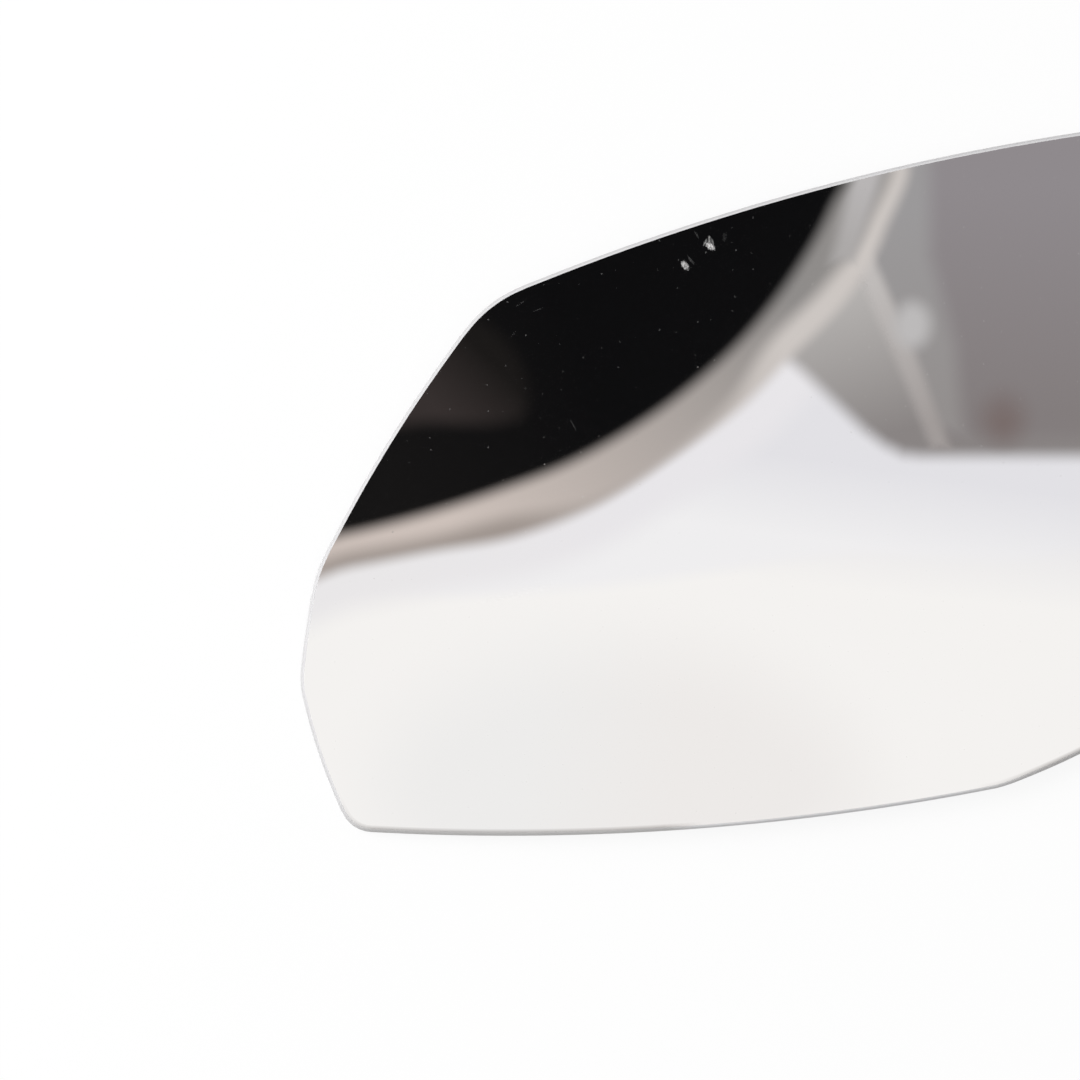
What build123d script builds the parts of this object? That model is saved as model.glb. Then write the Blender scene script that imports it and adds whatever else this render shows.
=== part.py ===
"""Door mirror glass: one convex glass plate, silvered on its back, with a ground edge.

The glass lies on its back on the plane Z = 0, with the reflecting face towards +Z.
+X runs from the inner end, next to the car, to the outer end, and +Y is up on the car.
The origin is on that plane, under the middle of the outline. Sizes are in millimetres.
"""

from build123d import *

import os

# Section of the plate
THICKNESS = 2.2
FACE_RADIUS = 1400.0  # convex front face; the back is concentric with it
FRONT_ROUND = 0.7  # ground rim of the reflecting face
BACK_BEVEL = 0.6  # seamed rim of the silvered back

# Corners of the outline before rounding, seen from the front, from the lower inner corner
LOWER_BREAK_X = 116.1  # the lower edge starts to rise here
LOWER_BREAK_Y = 7.9
OUTER_LOW_X = 156.0
OUTER_LOW_Y = 30.5
OUTER_TOP_X = 167.5
OUTER_TOP_Y = 129.0
INNER_TOP_X = 24.4
INNER_TOP_Y = 94.8
INNER_SIDE_X = -6.2  # the long inner slope meets the short inner side here
INNER_SIDE_Y = 46.4
INNER_TIP_X = -9.2
INNER_TIP_Y = 26.3

# How far each side bows out beyond the straight line between its corners
LOWER_BOW = 3.7
RISE_BOW = 2.0
OUTER_BOW = 3.0
TOP_BOW = 6.2
SLOPE_BOW = 1.6
INNER_BOW = 0.35
TOE_BOW = 0.95

# Radius of each corner
TOE_ROUND = 6.0
LOWER_BREAK_ROUND = 17.0
OUTER_LOW_ROUND = 22.0
OUTER_TOP_ROUND = 18.0
INNER_TOP_ROUND = 24.0
INNER_SIDE_ROUND = 21.0
INNER_TIP_ROUND = 14.0


def glass_outline():
    """The rounded outline as a flat face, centred on the origin."""
    toe = Vector(0, 0)
    lower_break = Vector(LOWER_BREAK_X, LOWER_BREAK_Y)
    outer_low = Vector(OUTER_LOW_X, OUTER_LOW_Y)
    outer_top = Vector(OUTER_TOP_X, OUTER_TOP_Y)
    inner_top = Vector(INNER_TOP_X, INNER_TOP_Y)
    inner_side = Vector(INNER_SIDE_X, INNER_SIDE_Y)
    inner_tip = Vector(INNER_TIP_X, INNER_TIP_Y)

    # Counter-clockwise from the toe: each corner, its round, and the bow of the side that leaves it
    corners = [
        (toe, TOE_ROUND, LOWER_BOW),
        (lower_break, LOWER_BREAK_ROUND, RISE_BOW),
        (outer_low, OUTER_LOW_ROUND, OUTER_BOW),
        (outer_top, OUTER_TOP_ROUND, TOP_BOW),
        (inner_top, INNER_TOP_ROUND, SLOPE_BOW),
        (inner_side, INNER_SIDE_ROUND, INNER_BOW),
        (inner_tip, INNER_TIP_ROUND, TOE_BOW),
    ]
    following = corners[1:] + corners[:1]
    sides = [SagittaArc(here, there, -bow) for (here, _, bow), (there, _, _) in zip(corners, following)]
    face = Face(Wire(sides))
    for corner, corner_round, _ in corners:
        sharp = face.vertices().sort_by_distance(corner)[0]
        face = face.fillet_2d(corner_round, [sharp])
    return Pos(-face.bounding_box().center()) * face


def face_ball(radius):
    """A ball round the centre of curvature, with its poles along Y, well away from the glass."""
    return Pos(0, 0, -FACE_RADIUS) * Rot(X=90) * Sphere(radius)


def domed_faces(plate):
    """The two spherical faces of the plate, the back one first."""
    return plate.faces().filter_by(GeomType.SPHERE).sort_by(Axis.Z)


def mirror_glass():
    """The plate between two concentric balls, cut to the outline, with both rims ground."""
    outline = glass_outline()
    half_diagonal = outline.bounding_box().diagonal / 2
    depth = THICKNESS + half_diagonal**2 / FACE_RADIUS
    blank = extrude(Pos(0, 0, -depth) * outline, amount=2 * depth)
    plate = (blank & face_ball(FACE_RADIUS)) - face_ball(FACE_RADIUS - THICKNESS)
    plate = fillet(domed_faces(plate)[-1].edges(), FRONT_ROUND)
    plate = chamfer(domed_faces(plate)[0].edges(), BACK_BEVEL)
    return Pos(0, 0, -plate.bounding_box().min.Z) * plate


os.makedirs("parts", exist_ok=True)
glass = mirror_glass()
export_step(glass, "parts/mirror_glass.step")
size = glass.bounding_box().size
print(f"mirror_glass {size.X:.1f} x {size.Y:.1f} x {size.Z:.2f} mm, {glass.volume / 1000:.1f} cm3")
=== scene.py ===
# %% [markdown]
# # Door mirror glass
# The mirror on a car door holds one plate of glass. It is about 2 mm thick, cut to a rounded
# outline, bent to a gentle dome so that it shows more of the road, silvered on its back and
# ground along its rim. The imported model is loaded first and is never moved. Sizes are measured
# on it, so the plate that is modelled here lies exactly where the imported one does.

# %% Load the frame
import math

import bpy
import numpy as np
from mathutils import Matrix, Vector
from mathutils.geometry import interpolate_bezier


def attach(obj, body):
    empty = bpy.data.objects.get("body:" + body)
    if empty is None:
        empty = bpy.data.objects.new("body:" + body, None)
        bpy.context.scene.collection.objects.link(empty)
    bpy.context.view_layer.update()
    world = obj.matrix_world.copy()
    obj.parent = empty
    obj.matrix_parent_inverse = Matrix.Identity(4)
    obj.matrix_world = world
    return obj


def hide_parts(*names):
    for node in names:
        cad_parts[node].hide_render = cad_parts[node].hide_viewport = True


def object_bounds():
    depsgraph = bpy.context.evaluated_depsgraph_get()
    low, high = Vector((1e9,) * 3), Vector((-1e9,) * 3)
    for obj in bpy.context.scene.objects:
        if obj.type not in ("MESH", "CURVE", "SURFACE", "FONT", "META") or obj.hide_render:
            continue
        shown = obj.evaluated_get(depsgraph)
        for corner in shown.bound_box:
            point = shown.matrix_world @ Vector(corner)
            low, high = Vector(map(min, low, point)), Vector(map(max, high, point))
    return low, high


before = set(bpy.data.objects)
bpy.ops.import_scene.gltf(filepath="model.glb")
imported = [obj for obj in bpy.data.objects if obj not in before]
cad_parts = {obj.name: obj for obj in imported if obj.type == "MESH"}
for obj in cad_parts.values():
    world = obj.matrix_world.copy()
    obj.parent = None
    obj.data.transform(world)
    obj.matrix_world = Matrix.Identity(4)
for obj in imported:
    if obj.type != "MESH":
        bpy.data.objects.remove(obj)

MM = 0.001
cad_low, cad_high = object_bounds()
print("packed box in mm:", [round(side / MM, 2) for side in cad_high - cad_low])

# %% [markdown]
# ## The plate's sizes
# A bent mirror is a slice of a ball, so its two faces are fitted with a ball each. Points on a
# ball centred on the Z axis obey x² + y² + z² = 2cz + (r² - c²), which is a straight line in z,
# and a line is easy to fit. The gap between the tops of the two balls is the thickness, and the
# rim is as wide as what is left between each face and the outline.

# %% Measure the two faces
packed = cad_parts["mirror_glass"].data
FACE_TILT = 0.99  # a point whose normal is this close to upright lies on a face


def fitted_face(side):
    """Ball radius, top height and reach along X of the upper (+1) or lower (-1) face."""
    points = np.array([v.co for v in packed.vertices if v.normal.z * side > FACE_TILT])
    slope, constant = np.polyfit(points[:, 2], (points**2).sum(axis=1), 1)
    radius = math.sqrt(constant + slope**2 / 4)
    return radius, slope / 2 + radius, points[:, 0].max()


ball_radius, front_top, front_reach = fitted_face(1)
_, back_top, back_reach = fitted_face(-1)
thickness = front_top - back_top
front_band = cad_high.x - front_reach
back_band = cad_high.x - back_reach
print(f"ball radius {ball_radius / MM:.0f} mm, thickness {thickness / MM:.2f} mm")
print(f"rim {front_band / MM:.2f} mm wide on the front and {back_band / MM:.2f} mm on the back")

# %% [markdown]
# ## The outline
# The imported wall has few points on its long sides, and straight lines between them would leave
# corners that a shiny rim shows. Each wall point also carries a normal, square to the outline,
# so a quarter turn of it is the direction of the edge there. A Bezier curve through the points
# with those directions is smooth, and it is then cut into even steps.

# %% Trace the outline
WALL_TILT = 0.1  # a normal that is nearly level belongs to the wall
KNOT_GAP = 0.5 * MM  # nearer points are doubles from the wall's two edges
CURVE_STEPS = 12
RIM_POINTS = 480


def wall_knots():
    """Points round the wall, counter-clockwise, each with the direction of the edge there."""
    normals = {}
    for loop, corner in zip(packed.loops, packed.corner_normals):
        if abs(corner.vector.z) < WALL_TILT:
            normals[loop.vertex_index] = corner.vector.to_2d().normalized()
    places = {index: packed.vertices[index].co.to_2d() for index in normals}
    knots = []
    for index in sorted(places, key=lambda i: math.atan2(places[i].y, places[i].x)):
        if not knots or (places[index] - knots[-1][0]).length > KNOT_GAP:
            knots.append((places[index], normals[index].orthogonal()))
    return knots


def closed_curve(knots):
    """A smooth closed path through knots, which are pairs of a point and a direction."""
    path = []
    for (start, leaving), (end, arriving) in zip(knots, knots[1:] + knots[:1]):
        reach = (end - start).length / 3
        span = (start, start + leaving * reach, end - arriving * reach, end)
        path += interpolate_bezier(*span, CURVE_STEPS)[:-1]
    return path


def even_steps(path, count):
    """count points spread evenly along a closed path."""
    closed = np.array(path + path[:1])
    run = np.concatenate([[0], np.cumsum(np.linalg.norm(np.diff(closed, axis=0), axis=1))])
    stations = np.linspace(0, run[-1], count, endpoint=False)
    return np.column_stack([np.interp(stations, run, closed[:, axis]) for axis in (0, 1)])


knots = wall_knots()
outline = even_steps(closed_curve(knots), RIM_POINTS)
step = np.linalg.norm(outline[1] - outline[0])
print(f"outline: {len(knots)} wall points, {RIM_POINTS} even steps of {step / MM:.2f} mm")

# %% [markdown]
# ## The blank
# A glass cutter scores the outline and breaks the blank out of a flat sheet. Here a filled
# circle is pulled to the outline and extruded down by the thickness, with the top at the height
# of the dome's top.

# %% Cut the flat blank
bpy.ops.object.select_all(action="DESELECT")
bpy.ops.mesh.primitive_circle_add(vertices=RIM_POINTS, fill_type="NGON")
glass = bpy.context.object
glass.name = "mirror_plate"
mesh = glass.data
for vertex, (x, y) in zip(mesh.vertices, outline):
    vertex.co = (x, y, front_top)
bpy.ops.object.mode_set(mode="EDIT")
bpy.ops.mesh.select_all(action="SELECT")
bpy.ops.mesh.extrude_region_move(TRANSFORM_OT_translate={"value": (0, 0, -thickness)})
bpy.ops.object.mode_set(mode="OBJECT")
print(f"blank: {len(mesh.vertices)} points, {len(mesh.polygons)} faces")

# %% [markdown]
# ## The ground rim
# The broken edge is ground: a round on the reflecting side, where fingers reach it, and a
# narrow flat on the back. Both are bevels of the rim's edges, the first with enough steps to
# look round and the second with one.

# %% Grind both rims
SAME_HEIGHT = 0.001 * MM
ROUND_STEPS = 8
ROUND_PROFILE = 0.5  # a bevel with this profile is a quarter of a circle


def choose(kind, wanted):
    """Selects the plate's edges (EDGE) or faces (FACE) that pass a test, and stays in edit mode."""
    bpy.ops.object.mode_set(mode="EDIT")
    bpy.ops.mesh.select_mode(type=kind)
    bpy.ops.mesh.select_all(action="DESELECT")
    bpy.ops.object.mode_set(mode="OBJECT")
    for item in mesh.edges if kind == "EDGE" else mesh.polygons:
        item.select = wanted(item)
    bpy.ops.object.mode_set(mode="EDIT")


def level_at(height):
    """A test for edges or faces that lie level at one height."""
    return lambda item: all(
        abs(mesh.vertices[v].co.z - height) < SAME_HEIGHT for v in item.vertices
    )


choose("EDGE", level_at(front_top))
bpy.ops.mesh.bevel(offset=front_band, segments=ROUND_STEPS, profile=ROUND_PROFILE, affect="EDGES")
choose("EDGE", level_at(back_top))
bpy.ops.mesh.bevel(offset=back_band, segments=1, affect="EDGES")
bpy.ops.object.mode_set(mode="OBJECT")
print(f"ground rim: {len(mesh.polygons)} faces")

# %% [markdown]
# ## The two faces
# One large flat face can't be bent. Each face is cleared and filled again with a grid, which
# gives the plate small, even squares to bend over. The front first gets a narrow ring along its
# rim, over which the painted shade on the silver fades out.

# %% Fill the faces with grids
# width of the ring over which the painted shade on the silver fades out
SHADE_RING_WIDTH = 0.65 * MM
GRID_SPAN = RIM_POINTS // 4  # a grid has four sides, and each gets a quarter of the outline


def large_face_at(height):
    """A test for the one large face at a height."""
    return lambda face: len(face.vertices) == RIM_POINTS and level_at(height)(face)


choose("FACE", large_face_at(front_top))
bpy.ops.mesh.inset(thickness=SHADE_RING_WIDTH)
for height in (front_top, back_top):
    choose("FACE", large_face_at(height))
    bpy.ops.mesh.delete(type="ONLY_FACE")
    bpy.ops.mesh.select_mode(type="EDGE")
    bpy.ops.mesh.select_all(action="DESELECT")
    bpy.ops.mesh.select_non_manifold(use_wire=False, use_multi_face=False, use_non_contiguous=False)
    bpy.ops.mesh.fill_grid(span=GRID_SPAN)
bpy.ops.mesh.select_all(action="SELECT")
bpy.ops.mesh.normals_make_consistent(inside=False)
bpy.ops.object.mode_set(mode="OBJECT")
print(f"filled plate: {len(mesh.polygons)} faces")

# %% [markdown]
# ## Three finishes on one plate
# The front is silvered, the rim is ground and the back is painted. While the plate is flat, a
# face's normal tells which it is. The lines where the finishes meet are marked sharp, so that
# the rim's slope doesn't pull on the normals of the mirror, which would bend the picture in it.

# %% Mark out the finishes
FLAT = 0.999
FRONT, RIM, BACK = range(3)
for face in mesh.polygons:
    face.material_index = RIM
    if abs(face.normal.z) > FLAT:
        face.material_index = FRONT if face.normal.z > 0 else BACK
for zone in (FRONT, BACK):
    choose("FACE", lambda face: face.material_index == zone)
    bpy.ops.mesh.region_to_loop()
    bpy.ops.mesh.mark_sharp()
bpy.ops.object.mode_set(mode="OBJECT")
zones = [face.material_index for face in mesh.polygons]
print("faces on front, rim and back:", [zones.count(zone) for zone in (FRONT, RIM, BACK)])

# %% [markdown]
# ## The shaded edge
# The rim and the silver are painted darker at the lowest edge and at the lower outer corner, as
# shade. How much could be painted on by hand, but two round places with soft borders say it as
# well. It is kept in an attribute on the points of the rim only, so on the mirror it fades out
# over the ring.

# %% Paint shade on the lower edge
# Where shade is painted: the centre, and how far full and fading shade reach, in mm
SHADED_PLACES = [((-49, -64), 26, 33), ((58, -46), 13, 27)]


def points_of(zone):
    """The points of all faces with one finish."""
    return {point for face in mesh.polygons if face.material_index == zone for point in face.vertices}


def edge_shading(place):
    """How much painted shade darkens the rim at a place, from 0 to 1."""
    share = 0
    for centre, full, end in SHADED_PLACES:
        away = (place.to_2d() / MM - Vector(centre)).length
        share = max(share, (end - away) / (end - full))
    return min(share, 1)


# how much painted shade darkens the rim and the silver, point by point
shaded = mesh.attributes.new("shaded", "FLOAT", "POINT")
for point in points_of(RIM):
    shaded.data[point].value = edge_shading(mesh.vertices[point].co)
print("points on the dulled rim:", sum(share.value > 0 for share in shaded.data))

# %% [markdown]
# ## The dome
# The maker heats the flat blank until it sags into a mould that is part of a ball. Every point
# is lowered by what the ball has fallen away at its distance from the middle. Both faces drop
# together, so the thickness stays, and the wall stays upright.

# %% Bend the plate
SMOOTH_BELOW = math.radians(30)


def fall(x, y):
    """How far the ball lies below its top at a distance from the middle."""
    return ball_radius - math.sqrt(ball_radius**2 - x**2 - y**2)


for vertex in mesh.vertices:
    vertex.co.z -= fall(vertex.co.x, vertex.co.y)
bpy.ops.object.shade_smooth_by_angle(angle=SMOOTH_BELOW)
heights = [vertex.co.z / MM for vertex in mesh.vertices]
print(f"bent plate: from {min(heights):.3f} to {max(heights):.3f} mm high")

# %% [markdown]
# ## Colours and nodes
# Colours are written as they look on a screen, in sRGB hex, and turned to the linear values
# that light adds up in. One helper adds any shader node, sets it and links it.

# %% Colour and node helpers


def linear(hex_colour):
    """An sRGB hex colour as linear red, green, blue and alpha."""
    shares = [int(hex_colour[i : i + 2], 16) / 255 for i in (1, 3, 5)]
    return [s / 12.92 if s <= 0.04045 else ((s + 0.055) / 1.055) ** 2.4 for s in shares] + [1.0]


def add_node(tree, kind, inputs, **settings):
    """Adds a shader node. inputs gives its sockets a value or the output of another node."""
    node = tree.nodes.new("ShaderNode" + kind)
    for name, value in settings.items():
        setattr(node, name, value)
    for socket, value in inputs.items():
        if isinstance(value, bpy.types.NodeSocket):
            tree.links.new(value, node.inputs[socket])
        else:
            node.inputs[socket].default_value = value
    return node


def new_material(name):
    """A material without nodes, apart from its output, and that output."""
    material = bpy.data.materials.new(name)
    material.use_nodes = True
    material.node_tree.nodes.clear()
    return material, add_node(material.node_tree, "OutputMaterial", {})


print("mid grey #808080 is", round(linear("#808080")[0], 3), "in linear light")

# %% [markdown]
# ## Silvered glass
# Behind the glass lies a film of silver, which returns nine tenths of the light and shows no
# colour of its own. What the eye sees on a mirror is the room and the dirt. Dirt lies on the
# glass in front of the silver, so it hides the mirror and scatters light: two dried spots near
# the upper edge with faint streaks beside the upper one, a hair scratch, light scuffs and a few
# specks of dust. A faint mark just beside the lower spot is a painted reflection of that spot in
# the silver, and the silver is painted darker along the lower edge, as shade. Each mark is an
# ellipse at its place on the plate, with an edge that noise breaks up.

# %% Silvered front
SILVER = "#F4F4F4"
# silver painted darker along the lower edge, as shade
SHADED_SILVER = "#BCBAB9"
RESIDUE = "#E6E5E1"
MIRROR_ROUGHNESS = 0.015
RESIDUE_ROUGHNESS = 0.75
GRAIN = 0.35 * MM  # crumbs in the dried residue
CRUMBLE = 0.55  # how far they break up a mark's edge, as a share of its half width
MARK_STARTS = 1.15  # a mark starts this far from its centre, in half widths
MARK_FULL = 0.55  # and has its full cover from here inwards
MOTTLE = 0.3 * MM  # thick and thin places in the residue
THIN_NOISE = 0.35  # noise below this is a thin place
THICK_NOISE = 0.62  # and above this a thick one
THIN_COVER = 0.5  # cover of a thin place, where a thick one has 1
DUST_GAP = 3.4 * MM
DUST_SIZE = 0.14 * MM
DUST_FREE = 0.48  # share of the places that stay clean
DUST_COVER = 0.09

# Centre in mm from the origin, half length and half width in mm, turn in degrees, cover
MARKS = {
    "lower spot": (-19.4, 37.8, 1.05, 0.6, -52, 0.38),
    # a painted reflection of the lower spot in the silver behind the glass
    "painted reflection of the lower spot": (-18.3, 38.65, 1.0, 0.22, -52, 0.06),
    "upper spot": (-14.9, 41.2, 1.05, 0.6, -38, 0.42),
    "upper spot left spike": (-15.8, 41.9, 0.75, 0.24, 65, 0.22),
    "upper spot middle spike": (-15.1, 42.3, 0.9, 0.22, 88, 0.26),
    "upper spot right spike": (-14.5, 42.0, 0.75, 0.22, 105, 0.16),
    "left streak": (-17.3, 43.2, 0.8, 0.16, -58, 0.05),
    "right smear": (-12.3, 42.9, 0.9, 0.4, 85, 0.02),
    "speck under the upper spot": (-15.7, 40.1, 0.2, 0.18, 0, 0.1),
    "hair scratch": (-39.3, 9.3, 1.2, 0.1, -62, 0.06),
    "upper scuff": (-48.7, 31.0, 1.2, 0.1, 35, 0.04),
    "middle scuff": (-45.6, 29.9, 1.0, 0.1, 20, 0.04),
    "lower scuff": (-50.0, 25.5, 0.9, 0.1, 50, 0.03),
}


def mark_cover(tree, place, crumbs, mark):
    """How far one mark hides the mirror: its cover inside a crumbling ellipse, 0 outside."""
    x, y, half_length, half_width, turn, cover = mark
    spot = add_node(
        tree,
        "Mapping",
        {
            "Vector": place,
            "Location": (x * MM, y * MM, 0),
            "Rotation": (0, 0, math.radians(turn)),
            "Scale": (half_length * MM, half_width * MM, 1),
        },
        vector_type="TEXTURE",
    )
    out = add_node(tree, "VectorMath", {0: spot.outputs[0]}, operation="LENGTH")
    edge = add_node(tree, "Math", {0: out.outputs["Value"], 1: crumbs}, operation="ADD")
    return add_node(
        tree,
        "MapRange",
        {
            "Value": edge.outputs[0],
            "From Min": MARK_STARTS,
            "From Max": MARK_FULL,
            "To Min": 0,
            "To Max": cover,
        },
        interpolation_type="SMOOTHSTEP",
    ).outputs[0]


def silvered_glass():
    """Second-surface mirror: silver under float glass with dried spots and dust, plus painted shade
    and a painted reflection.
    """
    material, output = new_material("silvered_float_glass")
    tree = material.node_tree
    place = add_node(tree, "TexCoord", {}).outputs["Object"]
    noise = add_node(tree, "TexNoise", {"Vector": place, "Scale": 1 / GRAIN, "Detail": 3.0})
    crumbs = add_node(
        tree, "MapRange", {"Value": noise.outputs[0], "To Min": -CRUMBLE, "To Max": CRUMBLE}
    ).outputs[0]

    # Dust: at most one speck to a cell, each with its own size
    cells = add_node(
        tree, "TexVoronoi", {"Vector": place, "Scale": 1 / DUST_GAP}, voronoi_dimensions="2D"
    )
    lot = add_node(tree, "SeparateColor", {"Color": cells.outputs["Color"]}).outputs[0]
    size = add_node(
        tree,
        "MapRange",
        {"Value": lot, "From Min": DUST_FREE, "To Min": 0.0, "To Max": DUST_SIZE / DUST_GAP},
    ).outputs[0]
    speck = add_node(
        tree, "Math", {0: size, 1: cells.outputs["Distance"]}, operation="GREATER_THAN"
    ).outputs[0]
    dust = add_node(tree, "Math", {0: speck, 1: DUST_COVER}, operation="MULTIPLY").outputs[0]

    # Marks: the strongest cover at each place, thick in some spots and thin in others
    marks = 0.0
    for mark in MARKS.values():
        cover = mark_cover(tree, place, crumbs, mark)
        marks = add_node(tree, "Math", {0: marks, 1: cover}, operation="MAXIMUM").outputs[0]
    clots = add_node(tree, "TexNoise", {"Vector": place, "Scale": 1 / MOTTLE, "Detail": 2.0})
    body = add_node(
        tree,
        "MapRange",
        {
            "Value": clots.outputs[0],
            "From Min": THIN_NOISE,
            "From Max": THICK_NOISE,
            "To Min": THIN_COVER,
        },
    ).outputs[0]
    smear = add_node(tree, "Math", {0: marks, 1: body}, operation="MULTIPLY").outputs[0]
    hidden = add_node(tree, "Math", {0: smear, 1: dust}, operation="MAXIMUM").outputs[0]

    # painted shade along the lower edge
    low_shade = add_node(tree, "Attribute", {}, attribute_name="shaded").outputs["Fac"]
    silver = add_node(
        tree,
        "Mix",
        {"Factor": low_shade, 6: linear(SILVER), 7: linear(SHADED_SILVER)},
        data_type="RGBA",
    ).outputs[2]
    colour = add_node(
        tree,
        "Mix",
        {"Factor": hidden, 6: silver, 7: linear(RESIDUE)},
        data_type="RGBA",
    ).outputs[2]
    metal = add_node(tree, "Math", {0: 1.0, 1: hidden}, operation="SUBTRACT").outputs[0]
    rough = add_node(
        tree,
        "MapRange",
        {"Value": hidden, "To Min": MIRROR_ROUGHNESS, "To Max": RESIDUE_ROUGHNESS},
    ).outputs[0]
    surface = add_node(
        tree,
        "BsdfPrincipled",
        {"Base Color": colour, "Metallic": metal, "Roughness": rough},
    )
    tree.links.new(surface.outputs[0], output.inputs["Surface"])
    return material


print(f"silvered front: {len(MARKS)} marks, dust in cells of {DUST_GAP / MM:.1f} mm")

# %% [markdown]
# ## Ground rim
# A diamond wheel leaves the rim frosted: pale, matt and slightly gritty, because its tiny pits
# scatter the light. The pits are far finer than a pixel, so the grit is drawn coarser here.
# The rim's colour also holds painted shade: it is lighter where the rim faces up and darker where
# it faces sideways.

# %% Ground rim
# Painted shade: the rim's colour goes from lit where it faces up to shaded where it faces sideways
RIM_LIT = "#DBDADB"
RIM_SIDE_SHADE = "#C8C7C8"
# rim painted darker along its lower edge, as shade
RIM_LOW_SHADE = "#BAB8B7"
RIM_ROUGHNESS = 0.45
GLASS_IOR = 1.52
GRIT = 0.2 * MM
GRIT_HEIGHT = 0.05 * MM
GRIT_STRENGTH = 0.08
SHADE_RISE = 0.82  # upright part of the normal below which the rim has its full painted shade
LIT_RISE = 0.94  # and above which it is painted as fully lit


def ground_glass():
    """Diamond-ground float glass: a frosted, nearly white edge with a soft sheen and painted shade."""
    material, output = new_material("diamond_ground_glass")
    tree = material.node_tree
    place = add_node(tree, "TexCoord", {}).outputs["Object"]
    grit = add_node(tree, "TexNoise", {"Vector": place, "Scale": 1 / GRIT, "Detail": 2.0}).outputs[0]
    tilt = add_node(tree, "SeparateXYZ", {0: add_node(tree, "NewGeometry", {}).outputs["Normal"]})
    # painted shade, by how far the rim's normal points up
    upward_light = add_node(
        tree, "MapRange", {"Value": tilt.outputs["Z"], "From Min": SHADE_RISE, "From Max": LIT_RISE}
    )
    rim_light_and_shade = add_node(
        tree,
        "Mix",
        {"Factor": upward_light.outputs[0], 6: linear(RIM_SIDE_SHADE), 7: linear(RIM_LIT)},
        data_type="RGBA",
    ).outputs[2]
    # painted shade along the lower edge
    low_shade = add_node(tree, "Attribute", {}, attribute_name="shaded").outputs["Fac"]
    colour = add_node(
        tree, "Mix", {"Factor": low_shade, 6: rim_light_and_shade, 7: linear(RIM_LOW_SHADE)}, data_type="RGBA"
    ).outputs[2]
    pits = add_node(
        tree, "Bump", {"Height": grit, "Strength": GRIT_STRENGTH, "Distance": GRIT_HEIGHT}
    )
    surface = add_node(
        tree,
        "BsdfPrincipled",
        {
            "Base Color": colour,
            "Roughness": RIM_ROUGHNESS,
            "IOR": GLASS_IOR,
            "Normal": pits.outputs[0],
        },
    )
    tree.links.new(surface.outputs[0], output.inputs["Surface"])
    return material


print(f"ground rim: grit of {GRIT / MM:.1f} mm")

# %% [markdown]
# ## Painted back
# Bare silver would tarnish, so the back carries a coat of grey protective paint. It was rolled
# on, which leaves a faint orange-peel texture and small changes of shade.

# %% Painted back
PAINT_LIGHT = "#6A6E70"
PAINT_DARK = "#5C6062"
PAINT_ROUGHNESS = 0.55
PEEL = 1.2 * MM
PEEL_HEIGHT = 0.02 * MM
PEEL_STRENGTH = 0.4
SHADE = 18 * MM  # size of the changes of shade


def backing_paint():
    """Rolled protective paint over the silver: dull grey with a fine orange peel."""
    material, output = new_material("rolled_backing_paint")
    tree = material.node_tree
    place = add_node(tree, "TexCoord", {}).outputs["Object"]
    shade = add_node(tree, "TexNoise", {"Vector": place, "Scale": 1 / SHADE, "Detail": 4.0}).outputs[0]
    colour = add_node(
        tree,
        "Mix",
        {"Factor": shade, 6: linear(PAINT_DARK), 7: linear(PAINT_LIGHT)},
        data_type="RGBA",
    ).outputs[2]
    peel = add_node(tree, "TexNoise", {"Vector": place, "Scale": 1 / PEEL, "Detail": 1.0}).outputs[0]
    skin = add_node(
        tree, "Bump", {"Height": peel, "Strength": PEEL_STRENGTH, "Distance": PEEL_HEIGHT}
    )
    surface = add_node(
        tree,
        "BsdfPrincipled",
        {"Base Color": colour, "Roughness": PAINT_ROUGHNESS, "Normal": skin.outputs[0]},
    )
    tree.links.new(surface.outputs[0], output.inputs["Surface"])
    return material


print(f"painted back: orange peel of {PEEL / MM:.1f} mm")

# %% [markdown]
# ## Dressing the plate
# A mesh keeps its materials in a list, and each face has the number of its own. The three
# finishes go on in the order of those numbers: front, rim and back. The plate then takes the
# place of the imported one, which stays hidden under it.

# %% Dress the plate
for finish in (silvered_glass(), ground_glass(), backing_paint()):
    mesh.materials.append(finish)
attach(glass, "root")
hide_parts("mirror_glass")
print("finishes:", [material.name for material in mesh.materials])

# %% [markdown]
# ## Camera
# The photo looks straight at the glass from the front and cuts off its outer end. The plate
# lies on its back, so the camera looks straight down, with the car's up at the top of the
# picture. A long lens from a metre away keeps the outline free of perspective.

# %% Camera
PICTURE_SIDE = 1080
PIXELS_PER_MM = 5.6
LEFT_EDGE_PIXEL = 300.1  # where the left edge of the plate shows, from the left
LOWER_EDGE_PIXEL = 836.0  # where its lower edge shows, from the top
CAMERA_HEIGHT = 1.0
RIM_HEIGHT = 3.5 * MM  # where the outline lies, and so where the scale of the picture holds
SENSOR = 36.0

pixel = MM / PIXELS_PER_MM
camera_x = cad_low.x + (PICTURE_SIDE / 2 - LEFT_EDGE_PIXEL) * pixel
camera_y = cad_low.y + (LOWER_EDGE_PIXEL - PICTURE_SIDE / 2) * pixel
camera_place = (camera_x, camera_y, RIM_HEIGHT + CAMERA_HEIGHT)
bpy.ops.object.camera_add(location=camera_place, rotation=(0, 0, 0))
camera = bpy.context.object
camera.data.sensor_width = SENSOR
camera.data.lens = SENSOR * CAMERA_HEIGHT / (PICTURE_SIDE * pixel)
bpy.context.scene.camera = camera
print(f"camera: {camera.data.lens:.0f} mm lens, {PICTURE_SIDE * pixel / MM:.0f} mm wide view")

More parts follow.
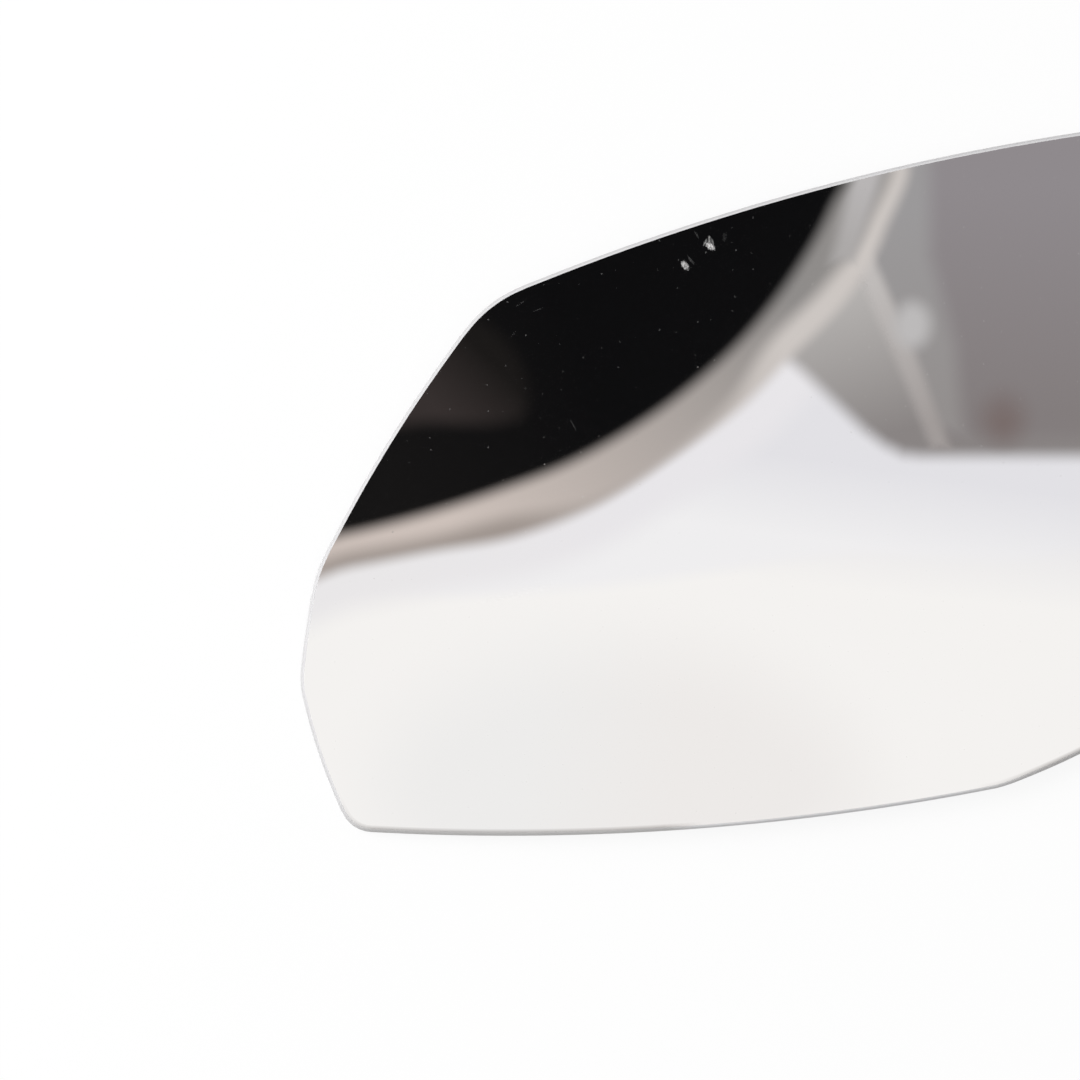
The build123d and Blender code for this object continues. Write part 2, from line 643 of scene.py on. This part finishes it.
# %% [markdown]
# ## What the mirror shows
# A mirror has no picture of its own, so the studio round it is as much of its look as the glass
# is. Cards hang over the plate, as in a photographer's tent: a white sheet, a black opening in
# it with a pale collar, and a grey wall to one side. Each card is drawn by where its edge shows
# on the glass, in mm from the lower left corner of the outline. The law of reflection on the
# dome then says where the card has to hang. Only mirrored rays see the cards.

# %% Where a card hangs
CARD_HEIGHT = 0.5
CARD_STEP = 1 * MM  # each card hangs this far over the one in front of it


def hung_over(spot, height):
    """The point at that height which the camera sees in the glass at a spot."""
    x = cad_low.x + spot[0] * MM
    y = cad_low.y + spot[1] * MM
    point = Vector((x, y, front_top - fall(x, y)))
    upright = (point - Vector((0, 0, front_top - ball_radius))).normalized()
    ray = (point - camera.location).reflect(upright)
    return point + ray * ((height - point.z) / ray.z)


SPREAD = (hung_over((1, 0), CARD_HEIGHT) - hung_over((0, 0), CARD_HEIGHT)).length / MM
print(f"a card is {SPREAD:.2f} times as wide as it shows on the glass")

# %% [markdown]
# ## A soft card
# The lens is sharp on the glass, so what shows in it is out of focus. Blurring the picture would
# blur the rim too, so each card has a soft edge instead: its face is inset by the blur, and an
# attribute that is 0 on the outer points and 1 on the inner ones fades it in. The card glows by
# itself, so no lamp has to reach it.

# %% Sheet and glow of a card
MIRROR_SHARE = linear(SILVER)[0]  # the cards are brighter than they look by what the silver takes


def card_sheet(name, height, edge, blur):
    """A flat card with the edge that it shows on the glass, and its fade."""
    bpy.ops.object.select_all(action="DESELECT")
    bpy.ops.mesh.primitive_circle_add(vertices=len(edge), fill_type="NGON")
    card = bpy.context.object
    card.name = name
    for vertex, spot in zip(card.data.vertices, edge):
        vertex.co = hung_over(spot, height)
    bpy.ops.object.mode_set(mode="EDIT")
    bpy.ops.mesh.select_all(action="SELECT")
    bpy.ops.mesh.inset(thickness=blur * MM * SPREAD)
    bpy.ops.object.mode_set(mode="OBJECT")

    # The inset leaves the inner face selected
    fade = card.data.attributes.new("fade", "FLOAT", "POINT")
    for vertex, amount in zip(card.data.vertices, fade.data):
        amount.value = float(vertex.select)
    return card


def card_glow(name, height, colours, run):
    """A glow that changes from one colour to another along a run of two spots, and fades in."""
    material, output = new_material(name)
    tree = material.node_tree
    start, end = (hung_over(spot, height) for spot in run)
    along = add_node(
        tree,
        "Mapping",
        {
            "Vector": add_node(tree, "TexCoord", {}).outputs["Object"],
            "Location": start,
            "Rotation": (0, 0, math.atan2(end.y - start.y, end.x - start.x)),
            "Scale": [(end - start).length] * 3,
        },
        vector_type="TEXTURE",
    )
    way = add_node(tree, "TexGradient", {"Vector": along.outputs[0]}, gradient_type="LINEAR")
    colour = add_node(
        tree,
        "Mix",
        {"Factor": way.outputs[1], 6: linear(colours[0]), 7: linear(colours[1])},
        data_type="RGBA",
    )
    glow = add_node(tree, "Emission", {"Color": colour.outputs[2], "Strength": 1 / MIRROR_SHARE})
    fade = add_node(tree, "Attribute", {}, attribute_name="fade").outputs["Fac"]
    cover = add_node(tree, "MapRange", {"Value": fade}, interpolation_type="SMOOTHSTEP")
    clear = add_node(tree, "BsdfTransparent", {})
    mix = add_node(tree, "MixShader", {0: cover.outputs[0], 1: clear.outputs[0], 2: glow.outputs[0]})
    tree.links.new(mix.outputs[0], output.inputs["Surface"])
    return material


print(f"silver returns {MIRROR_SHARE:.0%} of a card's light")

# %% [markdown]
# ## Edges of the cards
# The black opening is ringed by a pale collar with a line outside it. All of them run side by
# side, so one row of spots along the opening says how far each reaches, and smooth curves are
# drawn through the moved spots. Small blurs, such as a lamp's, are ovals.

# %% Edges of the cards
# The opening's edge from the inner end to the top, with how far the collar and its outer line reach
OPENING = [
    ((-14.0, 50.0), 3.6, 6.0),
    ((8.0, 54.4), 3.8, 6.5),
    ((21.5, 57.8), 4.7, 7.3),
    ((34.9, 62.1), 5.6, 9.3),
    ((48.3, 67.3), 8.4, 9.4),
    ((61.6, 74.9), 8.2, 8.7),
    ((72.3, 83.1), 7.0, 9.2),
    ((80.3, 91.0), 4.5, 9.1),
    ((88.2, 101.5), 6.3, 10.9),
    ((94.1, 112.0), 7.7, 11.0),
    ((99.0, 126.0), 5.8, 8.6),
]
OFF_GLASS = [Vector((70, 134)), Vector((24, 116)), Vector((-6, 84))]  # closes it out of sight
OVAL_POINTS = 24


def smooth_edge(spots):
    """A closed smooth path through spots."""
    points = [Vector(spot) for spot in spots]
    before = points[-1:] + points[:-1]
    after = points[1:] + points[:1]
    ways = [(ahead - behind).normalized() for ahead, behind in zip(after, before)]
    return closed_curve(list(zip(points, ways)))


def round_opening(reaches):
    """The opening's edge, moved out by a reach at each of its points and closed off the glass."""
    spots = [Vector(spot) for spot, _, _ in OPENING]
    before = spots[:1] + spots[:-1]
    after = spots[1:] + spots[-1:]
    outward = [-(ahead - behind).normalized().orthogonal() for ahead, behind in zip(after, before)]
    moved = [spot + way * reach for spot, way, reach in zip(spots, outward, reaches)]
    return smooth_edge(moved + OFF_GLASS)


def round_spot(x, y, half_width, half_height):
    """A closed oval path."""
    turns = np.linspace(0, 2 * math.pi, OVAL_POINTS, endpoint=False)
    return [(x + half_width * math.cos(turn), y + half_height * math.sin(turn)) for turn in turns]


print(f"opening: {len(OPENING)} spots along its edge")

# %% [markdown]
# ## The opening
# Nothing behind the opening is lit, so it is nearly black, with a faint brown glow at its left.
# The collar round it turns from a warm beige at the lower left to grey at the top. In this and
# the next two lists, cards stand from the front one to the rear one, each with its edge, its blur,
# two colours and the run from one to the other.

# %% Cards of the opening
DARK_REACH = 2.6
DARK_BLUR = 3.8
COLLAR_BLUR = 4.2
LINE_BLUR = 3.4
OPENING_CARDS = {
    "opening_glow": (
        smooth_edge([(6, 73), (12, 86), (29, 95), (39, 89), (43, 78), (39.5, 72.4), (24, 71.6)]),
        4.5,
        ("#36302F", "#1B1918"),
        [(24, 77), (33, 86)],
    ),
    "dark_opening": (
        round_opening([DARK_REACH for _ in OPENING]),
        DARK_BLUR,
        ("#161515", "#0D0D0E"),
        [(15, 65), (52, 80)],
    ),
    "collar_gleam": (
        [(92.5, 101), (100, 101), (108, 125), (98.5, 125)],
        3.4,
        ("#ACA9A8", "#B8B5B5"),
        [(96, 106), (101, 116)],
    ),
    "opening_collar": (
        round_opening([collar + COLLAR_BLUR / 2 for _, collar, _ in OPENING]),
        COLLAR_BLUR,
        ("#CDC1BA", "#8F8C8A"),
        [(26, 57), (89, 94)],
    ),
    "collar_line": (
        round_opening([line + LINE_BLUR / 2 for _, _, line in OPENING]),
        LINE_BLUR,
        ("#A09690", "#CCC6C2"),
        [(37, 57), (86, 88)],
    ),
}
print("cards of the opening:", len(OPENING_CARDS))

# %% [markdown]
# ## The wall
# A grey wall stands at the right, with a pale seam and a band beside it, the painted blur of a
# lamp and a dark reddish patch. Its grey is painted shade of a side panel. Where two soft edges
# lie over each other, their covers add up to a dark smear, so the rear card alone gives the wall
# its foot and its left side, and the others stay inside those.

# %% Cards of the wall
WALL_CARDS = {
    # painted gleam of a lamp on the wall
    "wall_gleam": (
        round_spot(109.2, 91.2, 5.4, 6.2),
        4.4,
        ("#BCBABA", "#BCBABA"),
        [(107, 92), (112, 92)],
    ),
    "wall_seam": (
        [
            (95.2, 107.5),
            (101.8, 91.5),
            (105, 84.3),
            (111.7, 68),
            (117.7, 68),
            (111.2, 86),
            (108.2, 93),
            (101.8, 107.5),
        ],
        2.7,
        ("#BFBBB9", "#A19B99"),
        [(101, 98), (113, 74)],
    ),
    "wall_shadow": (
        round_spot(125.4, 74.8, 6.9, 7.6),
        6.5,
        ("#796D6B", "#7F7676"),
        [(125, 74), (125, 81)],
    ),
    "wall_edge": (
        [
            (90, 138),
            (93, 112),
            (103.2, 91),
            (110.4, 69.5),
            (121, 69.5),
            (119.4, 88),
            (115, 104),
            (115, 138),
        ],
        5.2,
        ("#938F8E", "#9B999A"),
        [(107, 76), (107, 112)],
    ),
    # painted shade: the grey of a side panel in shade
    "grey_wall": (
        [
            (92, 180),
            (94, 112),
            (103.7, 91.2),
            (107, 84),
            (111.9, 69.8),
            (114.5, 68.4),
            (240, 68.4),
            (240, 180),
        ],
        5.2,
        ("#8F8A8D", "#837D7D"),
        [(124, 116), (124, 76)],
    ),
    # painted shade, lighter at the top and darker towards its foot
    "wall_panel": (
        [
            (69.5, 96.4),
            (88.1, 81.4),
            (95.8, 74.1),
            (99.4, 70.7),
            (103.1, 68),
            (106.9, 66.1),
            (110.7, 65.7),
            (240, 65.7),
            (240, 112),
            (86, 112),
        ],
        4.2,
        ("#B4B1AF", "#898483"),
        [(99, 97), (106, 72)],
    ),
}
print("cards of the wall:", len(WALL_CARDS))

# %% [markdown]
# ## The sheet
# The rest of the mirror shows a white sheet, with painted shade towards the wall, under the
# collar, above a fold and at its foot. The sheet is far larger than the glass shows and fades
# out over a wide border, because from the sides the mirror shows where it ends.

# %% Cards of the sheet
SHADE_REACH = 10.5
SHADE_BLUR = 6.5
SHEET_CARDS = {
    "collar_shade": (
        round_opening([line + SHADE_REACH for _, _, line in OPENING]),
        SHADE_BLUR,
        ("#E9E7E8", "#E8E6E9"),
        [(16, 48), (60, 58)],
    ),
    # painted shade above a fold in the sheet
    "sheet_fold": (
        smooth_edge(
            [(-20, 43), (8, 42), (30, 41.2), (60, 43.5), (92, 48), (150, 54), (150, 90), (-20, 70)]
        ),
        3.6,
        ("#E2E1E5", "#EFEEEF"),
        [(100, 66), (98, 52)],
    ),
    "sheet_shade": (
        round_spot(57, 9, 55, 37),
        24.0,
        ("#EDECEB", "#EDEAE8"),
        [(40, 10), (66, 6)],
    ),
    # darker towards the wall, as painted shade
    "white_sheet": (
        round_spot(88, 62, 270, 240),
        120.0,
        ("#E3E2E6", "#F4F2F0"),
        [(90, 65), (88, 45)],
    ),
}
print("cards of the sheet:", len(SHEET_CARDS))

# %% [markdown]
# ## Hanging the cards
# The cards hang close over each other, the front one lowest. They are hidden from the camera
# and from the light, so they show in the mirror and nowhere else.

# %% Hang the cards


def mirrored_only(thing):
    """Hides a thing from all rays but mirrored ones."""
    for ray in ("camera", "diffuse", "transmission", "volume_scatter", "shadow"):
        setattr(thing, "visible_" + ray, False)


cards = OPENING_CARDS | WALL_CARDS | SHEET_CARDS
for layer, (name, (edge, blur, colours, run)) in enumerate(cards.items()):
    height = CARD_HEIGHT + layer * CARD_STEP
    card = card_sheet(name, height, edge, blur)
    card.data.materials.append(card_glow(name, height, colours, run))
    mirrored_only(card)
print("cards from front to rear:", ", ".join(cards))

# %% [markdown]
# ## Table
# The plate lies on a plain white table. About an eighth of the table's white comes from the light
# on it, which keeps a soft shadow at the rim. The rest is a steady white that the camera and
# mirrored rays see, so the background is white without more light on the glass.

# %% Floor
FLOOR_SIDE = 12.0
FLOOR_WHITE = "#FEFEFE"
STEADY_SHARE = 0.88


def seen_rays(tree):
    """1 for rays from the camera and for mirrored or refracted ones, 0 for the rest."""
    rays = add_node(tree, "LightPath", {}).outputs
    seen = rays["Is Camera Ray"]
    for kind in ("Is Glossy Ray", "Is Transmission Ray"):
        seen = add_node(tree, "Math", {0: seen, 1: rays[kind]}, operation="MAXIMUM").outputs[0]
    return seen


bpy.ops.object.select_all(action="DESELECT")
bpy.ops.mesh.primitive_plane_add(size=FLOOR_SIDE)
floor = bpy.context.object
floor.name = "floor"
material, output = new_material("white_table")
tree = material.node_tree
share = add_node(tree, "Math", {0: seen_rays(tree), 1: STEADY_SHARE}, operation="MULTIPLY")
lit = add_node(tree, "BsdfDiffuse", {"Color": linear(FLOOR_WHITE)})
steady = add_node(tree, "Emission", {"Color": linear("#FFFFFF"), "Strength": 1.0})
mix = add_node(tree, "MixShader", {0: share.outputs[0], 1: lit.outputs[0], 2: steady.outputs[0]})
tree.links.new(mix.outputs[0], output.inputs["Surface"])
floor.data.materials.append(material)
print(f"floor: {FLOOR_SIDE:.0f} m wide, {STEADY_SHARE:.0%} of its white is steady")

# %% [markdown]
# ## Screen
# A mirror in an all-white room would look like white paint. A tall screen that only mirrored
# rays see stands round the table. It is pale at its foot, grey further up, where low views look,
# and fades to white at its top, so that its end doesn't show as a line.

# %% Screen round the table
SCREEN_RADIUS = 3.0
SCREEN_HEIGHT = 6.0
SCREEN_SIDES = 96
SCREEN_LOW = "#F2F2F2"
SCREEN_MIDDLE = "#8A8F94"
MIDDLE_SHARE = 0.24  # how far up the screen is darkest

bpy.ops.object.select_all(action="DESELECT")
bpy.ops.mesh.primitive_cylinder_add(
    vertices=SCREEN_SIDES,
    radius=SCREEN_RADIUS,
    depth=SCREEN_HEIGHT,
    end_fill_type="NOTHING",
    location=(0, 0, SCREEN_HEIGHT / 2),
)
screen = bpy.context.object
screen.name = "screen"
material, output = new_material("grey_screen")
tree = material.node_tree
height = add_node(tree, "SeparateXYZ", {0: add_node(tree, "NewGeometry", {}).outputs["Position"]})
rise = add_node(tree, "MapRange", {"Value": height.outputs["Z"], "From Max": SCREEN_HEIGHT})
shades = add_node(tree, "ValToRGB", {"Fac": rise.outputs[0]})
shades.color_ramp.interpolation = "EASE"
shades.color_ramp.elements[0].color = linear(SCREEN_LOW)
shades.color_ramp.elements[1].color = linear("#FFFFFF")
shades.color_ramp.elements.new(MIDDLE_SHARE).color = linear(SCREEN_MIDDLE)
glow = add_node(tree, "Emission", {"Color": shades.outputs["Color"]})
tree.links.new(glow.outputs[0], output.inputs["Surface"])
screen.data.materials.append(material)
mirrored_only(screen)
print(f"screen: {SCREEN_HEIGHT} m high, {SCREEN_RADIUS} m away")

# %% [markdown]
# ## Sky and lamp
# A large soft lamp stands at the left and a little above, so the rim is brightest on its left
# side and dullest along the bottom. It is kept out of the mirror. An even sky fills the shadows,
# and the camera and mirrored rays see it as plain white.

# %% Sky and lamp
FILL = 0.56  # strength of the sky as a light
LAMP_POWER = 10.5
LAMP_SIZE = 0.7
LAMP_PLACE = Vector((-0.96, 0.24, 0.62))

world = bpy.data.worlds.new("studio")
bpy.context.scene.world = world
world.use_nodes = True
tree = world.node_tree
tree.nodes.clear()
level = add_node(tree, "MapRange", {"Value": seen_rays(tree), "To Min": FILL, "To Max": 1.0})
sky = add_node(tree, "Background", {"Color": linear("#FFFFFF"), "Strength": level.outputs[0]})
add_node(tree, "OutputWorld", {"Surface": sky.outputs[0]})

bpy.ops.object.light_add(type="AREA", location=LAMP_PLACE)
lamp = bpy.context.object
lamp.data.energy = LAMP_POWER
lamp.data.size = LAMP_SIZE
lamp.rotation_euler = (-LAMP_PLACE).to_track_quat("-Z", "Y").to_euler()
lamp.visible_glossy = False
bpy.context.scene.view_settings.view_transform = "Standard"
print("lamp at", [round(side, 2) for side in LAMP_PLACE])
